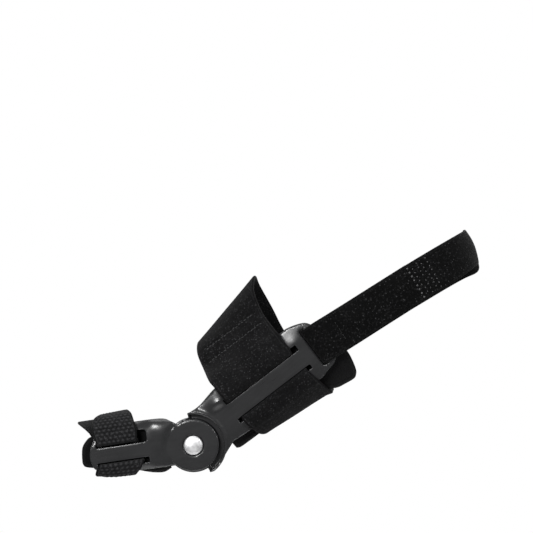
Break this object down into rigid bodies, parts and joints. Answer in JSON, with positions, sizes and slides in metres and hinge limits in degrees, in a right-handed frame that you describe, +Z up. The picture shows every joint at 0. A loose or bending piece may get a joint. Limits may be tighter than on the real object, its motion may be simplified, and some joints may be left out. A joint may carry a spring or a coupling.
{
  "type": "hinged big-toe splint",
  "caption": "Hinged big-toe splint in its worn shape: two riveted plates beside a tabbed toe loop, a wide midfoot band, a heel strap and soft linings.",
  "frame": {"origin": "middle of the hollow inside the midfoot band, where the midfoot goes", "axes": "+X towards the heel, +Z up, +Y from the plates' side across to the far side"},
  "size_m": [0.2339, 0.0896, 0.1407],
  "materials": {
    "plastic": "satin moulded charcoal plastic",
    "rivet_metal": "satin domed rivet head",
    "velour": "short black loop pile on webbing",
    "toe_velour": "charcoal loop pile with raised dots",
    "lining": "black foam-backed knit with a bound edge"
  },
  "bodies": {
    "rear_body": {"rear_plate": "plastic", "rivet": "rivet_metal", "midfoot_pad": "lining", "midfoot_wrap": "velour", "heel_strap": "velour"},
    "toe_body": {"toe_plate": "plastic", "toe_pad": "lining", "toe_strap": "toe_velour"}
  },
  "joints": [
    {"name": "toe_hinge", "type": "hinge", "parent": "rear_body", "child": "toe_body", "pos_m": [-0.04, -0.0385, -0.0469], "axis": [0, 1, 0], "range_deg": [-70, 28]}
  ]
}
